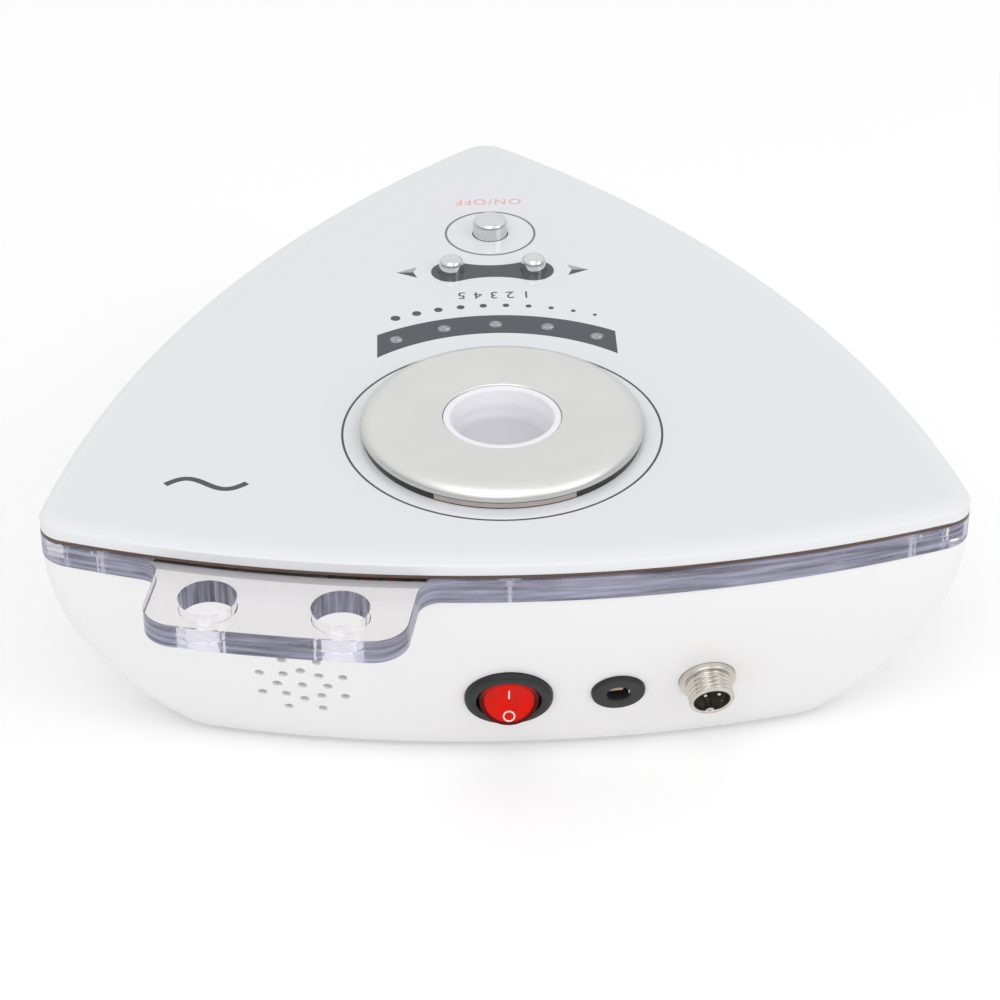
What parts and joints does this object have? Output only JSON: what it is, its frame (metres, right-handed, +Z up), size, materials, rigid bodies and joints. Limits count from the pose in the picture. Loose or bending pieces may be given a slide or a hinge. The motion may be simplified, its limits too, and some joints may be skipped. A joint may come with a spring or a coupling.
{
  "type": "rf facial device",
  "caption": "Triangular desktop radio-frequency facial machine with push buttons, a metal disc holder, a clear accessory rack and rear switch and sockets.",
  "frame": {"origin": "middle of the footprint box, on the surface that the feet stand on", "axes": "+Z up, +Y towards the rear wall with the switch and sockets, +X towards the rack"},
  "size_m": [0.238, 0.2522, 0.0802],
  "materials": {
    "white_panel": "polished",
    "white_shell": "smooth moulded",
    "clear_acrylic": "clear polished",
    "dark_tape": "matte",
    "satin_metal": "bead-blasted satin",
    "dark_ring": "polished",
    "white_cup": "smooth moulded",
    "chrome_cap": "polished chrome plating",
    "clear_light": "clear",
    "dark_grey_plastic": "fine texture",
    "red_rocker": "translucent red",
    "nickel": "nickel plated",
    "brass_contact": "bright",
    "steel_screw": "zinc plated",
    "circuit_board": "solder mask",
    "ferrite": "matte",
    "copper_winding": "enamelled wire",
    "capacitor_can": "sleeved",
    "heatsink_metal": "extruded",
    "black_plastic": "moulded",
    "natural_plastic": "moulded",
    "lead_insulation": "smooth",
    "ribbon_insulation": "smooth",
    "foot_rubber": "matte"
  },
  "bodies": {
    "housing": {"accessory_plate": "clear_acrylic", "board_spacers": "nickel", "bonding_tape": "dark_tape", "capacitors": "capacitor_can", "control_board": "circuit_board", "control_board_screws": "steel_screw", "cup_lock_ring": "natural_plastic", "disc_ring": "dark_ring", "disc_screws": "steel_screw", "heatsink": "heatsink_metal", "holder_cup": "white_cup", "indicator_lights": "clear_light", "jack_body": "dark_grey_plastic", "jack_leads": "lead_insulation", "jack_nut": "dark_grey_plastic", "jack_pin": "nickel", "jack_spring_strip": "nickel", "lead_headers": "natural_plastic", "lower_shell": "white_shell", "main_board": "circuit_board", "main_board_screws": "steel_screw", "metal_disc": "satin_metal", "output_transistors": "black_plastic", "plate_screws": "steel_screw", "relay": "black_plastic", "ribbon_cable": "ribbon_insulation", "rubber_feet": "foot_rubber", "socket_insert": "black_plastic", "socket_leads": "lead_insulation", "socket_nut": "nickel", "socket_pins": "nickel", "socket_shell": "nickel", "sounder": "black_plastic", "sounder_leads": "lead_insulation", "switch_housing": "dark_grey_plastic", "switch_leads": "lead_insulation", "switch_terminals": "brass_contact", "tact_switches": "black_plastic", "top_panel": "white_panel", "transformer_core": "ferrite", "transformer_winding": "copper_winding"},
    "rocker": {"switch_rocker": "red_rocker"},
    "power_key": {"power_button": "chrome_cap", "power_plunger": "black_plastic"},
    "level_up_key": {"level_up_button": "chrome_cap", "level_up_plunger": "black_plastic"},
    "level_down_key": {"level_down_button": "chrome_cap", "level_down_plunger": "black_plastic"}
  },
  "joints": [
    {"name": "rocker_tilt", "type": "hinge", "parent": "housing", "child": "rocker", "pos_m": [0, 0.08806, 0.0246], "axis": [1, 0, 0], "range_deg": [-30, 0]},
    {"name": "power_key_press", "type": "slide", "parent": "housing", "child": "power_key", "axis": [0, 0, -1], "range_m": [0, 0.0005], "stiffness_N_per_m": 2500, "springref_m": -0.0004},
    {"name": "level_up_key_press", "type": "slide", "parent": "housing", "child": "level_up_key", "axis": [0, 0, -1], "range_m": [0, 0.0005], "stiffness_N_per_m": 2500, "springref_m": -0.0004},
    {"name": "level_down_key_press", "type": "slide", "parent": "housing", "child": "level_down_key", "axis": [0, 0, -1], "range_m": [0, 0.0005], "stiffness_N_per_m": 2500, "springref_m": -0.0004}
  ]
}
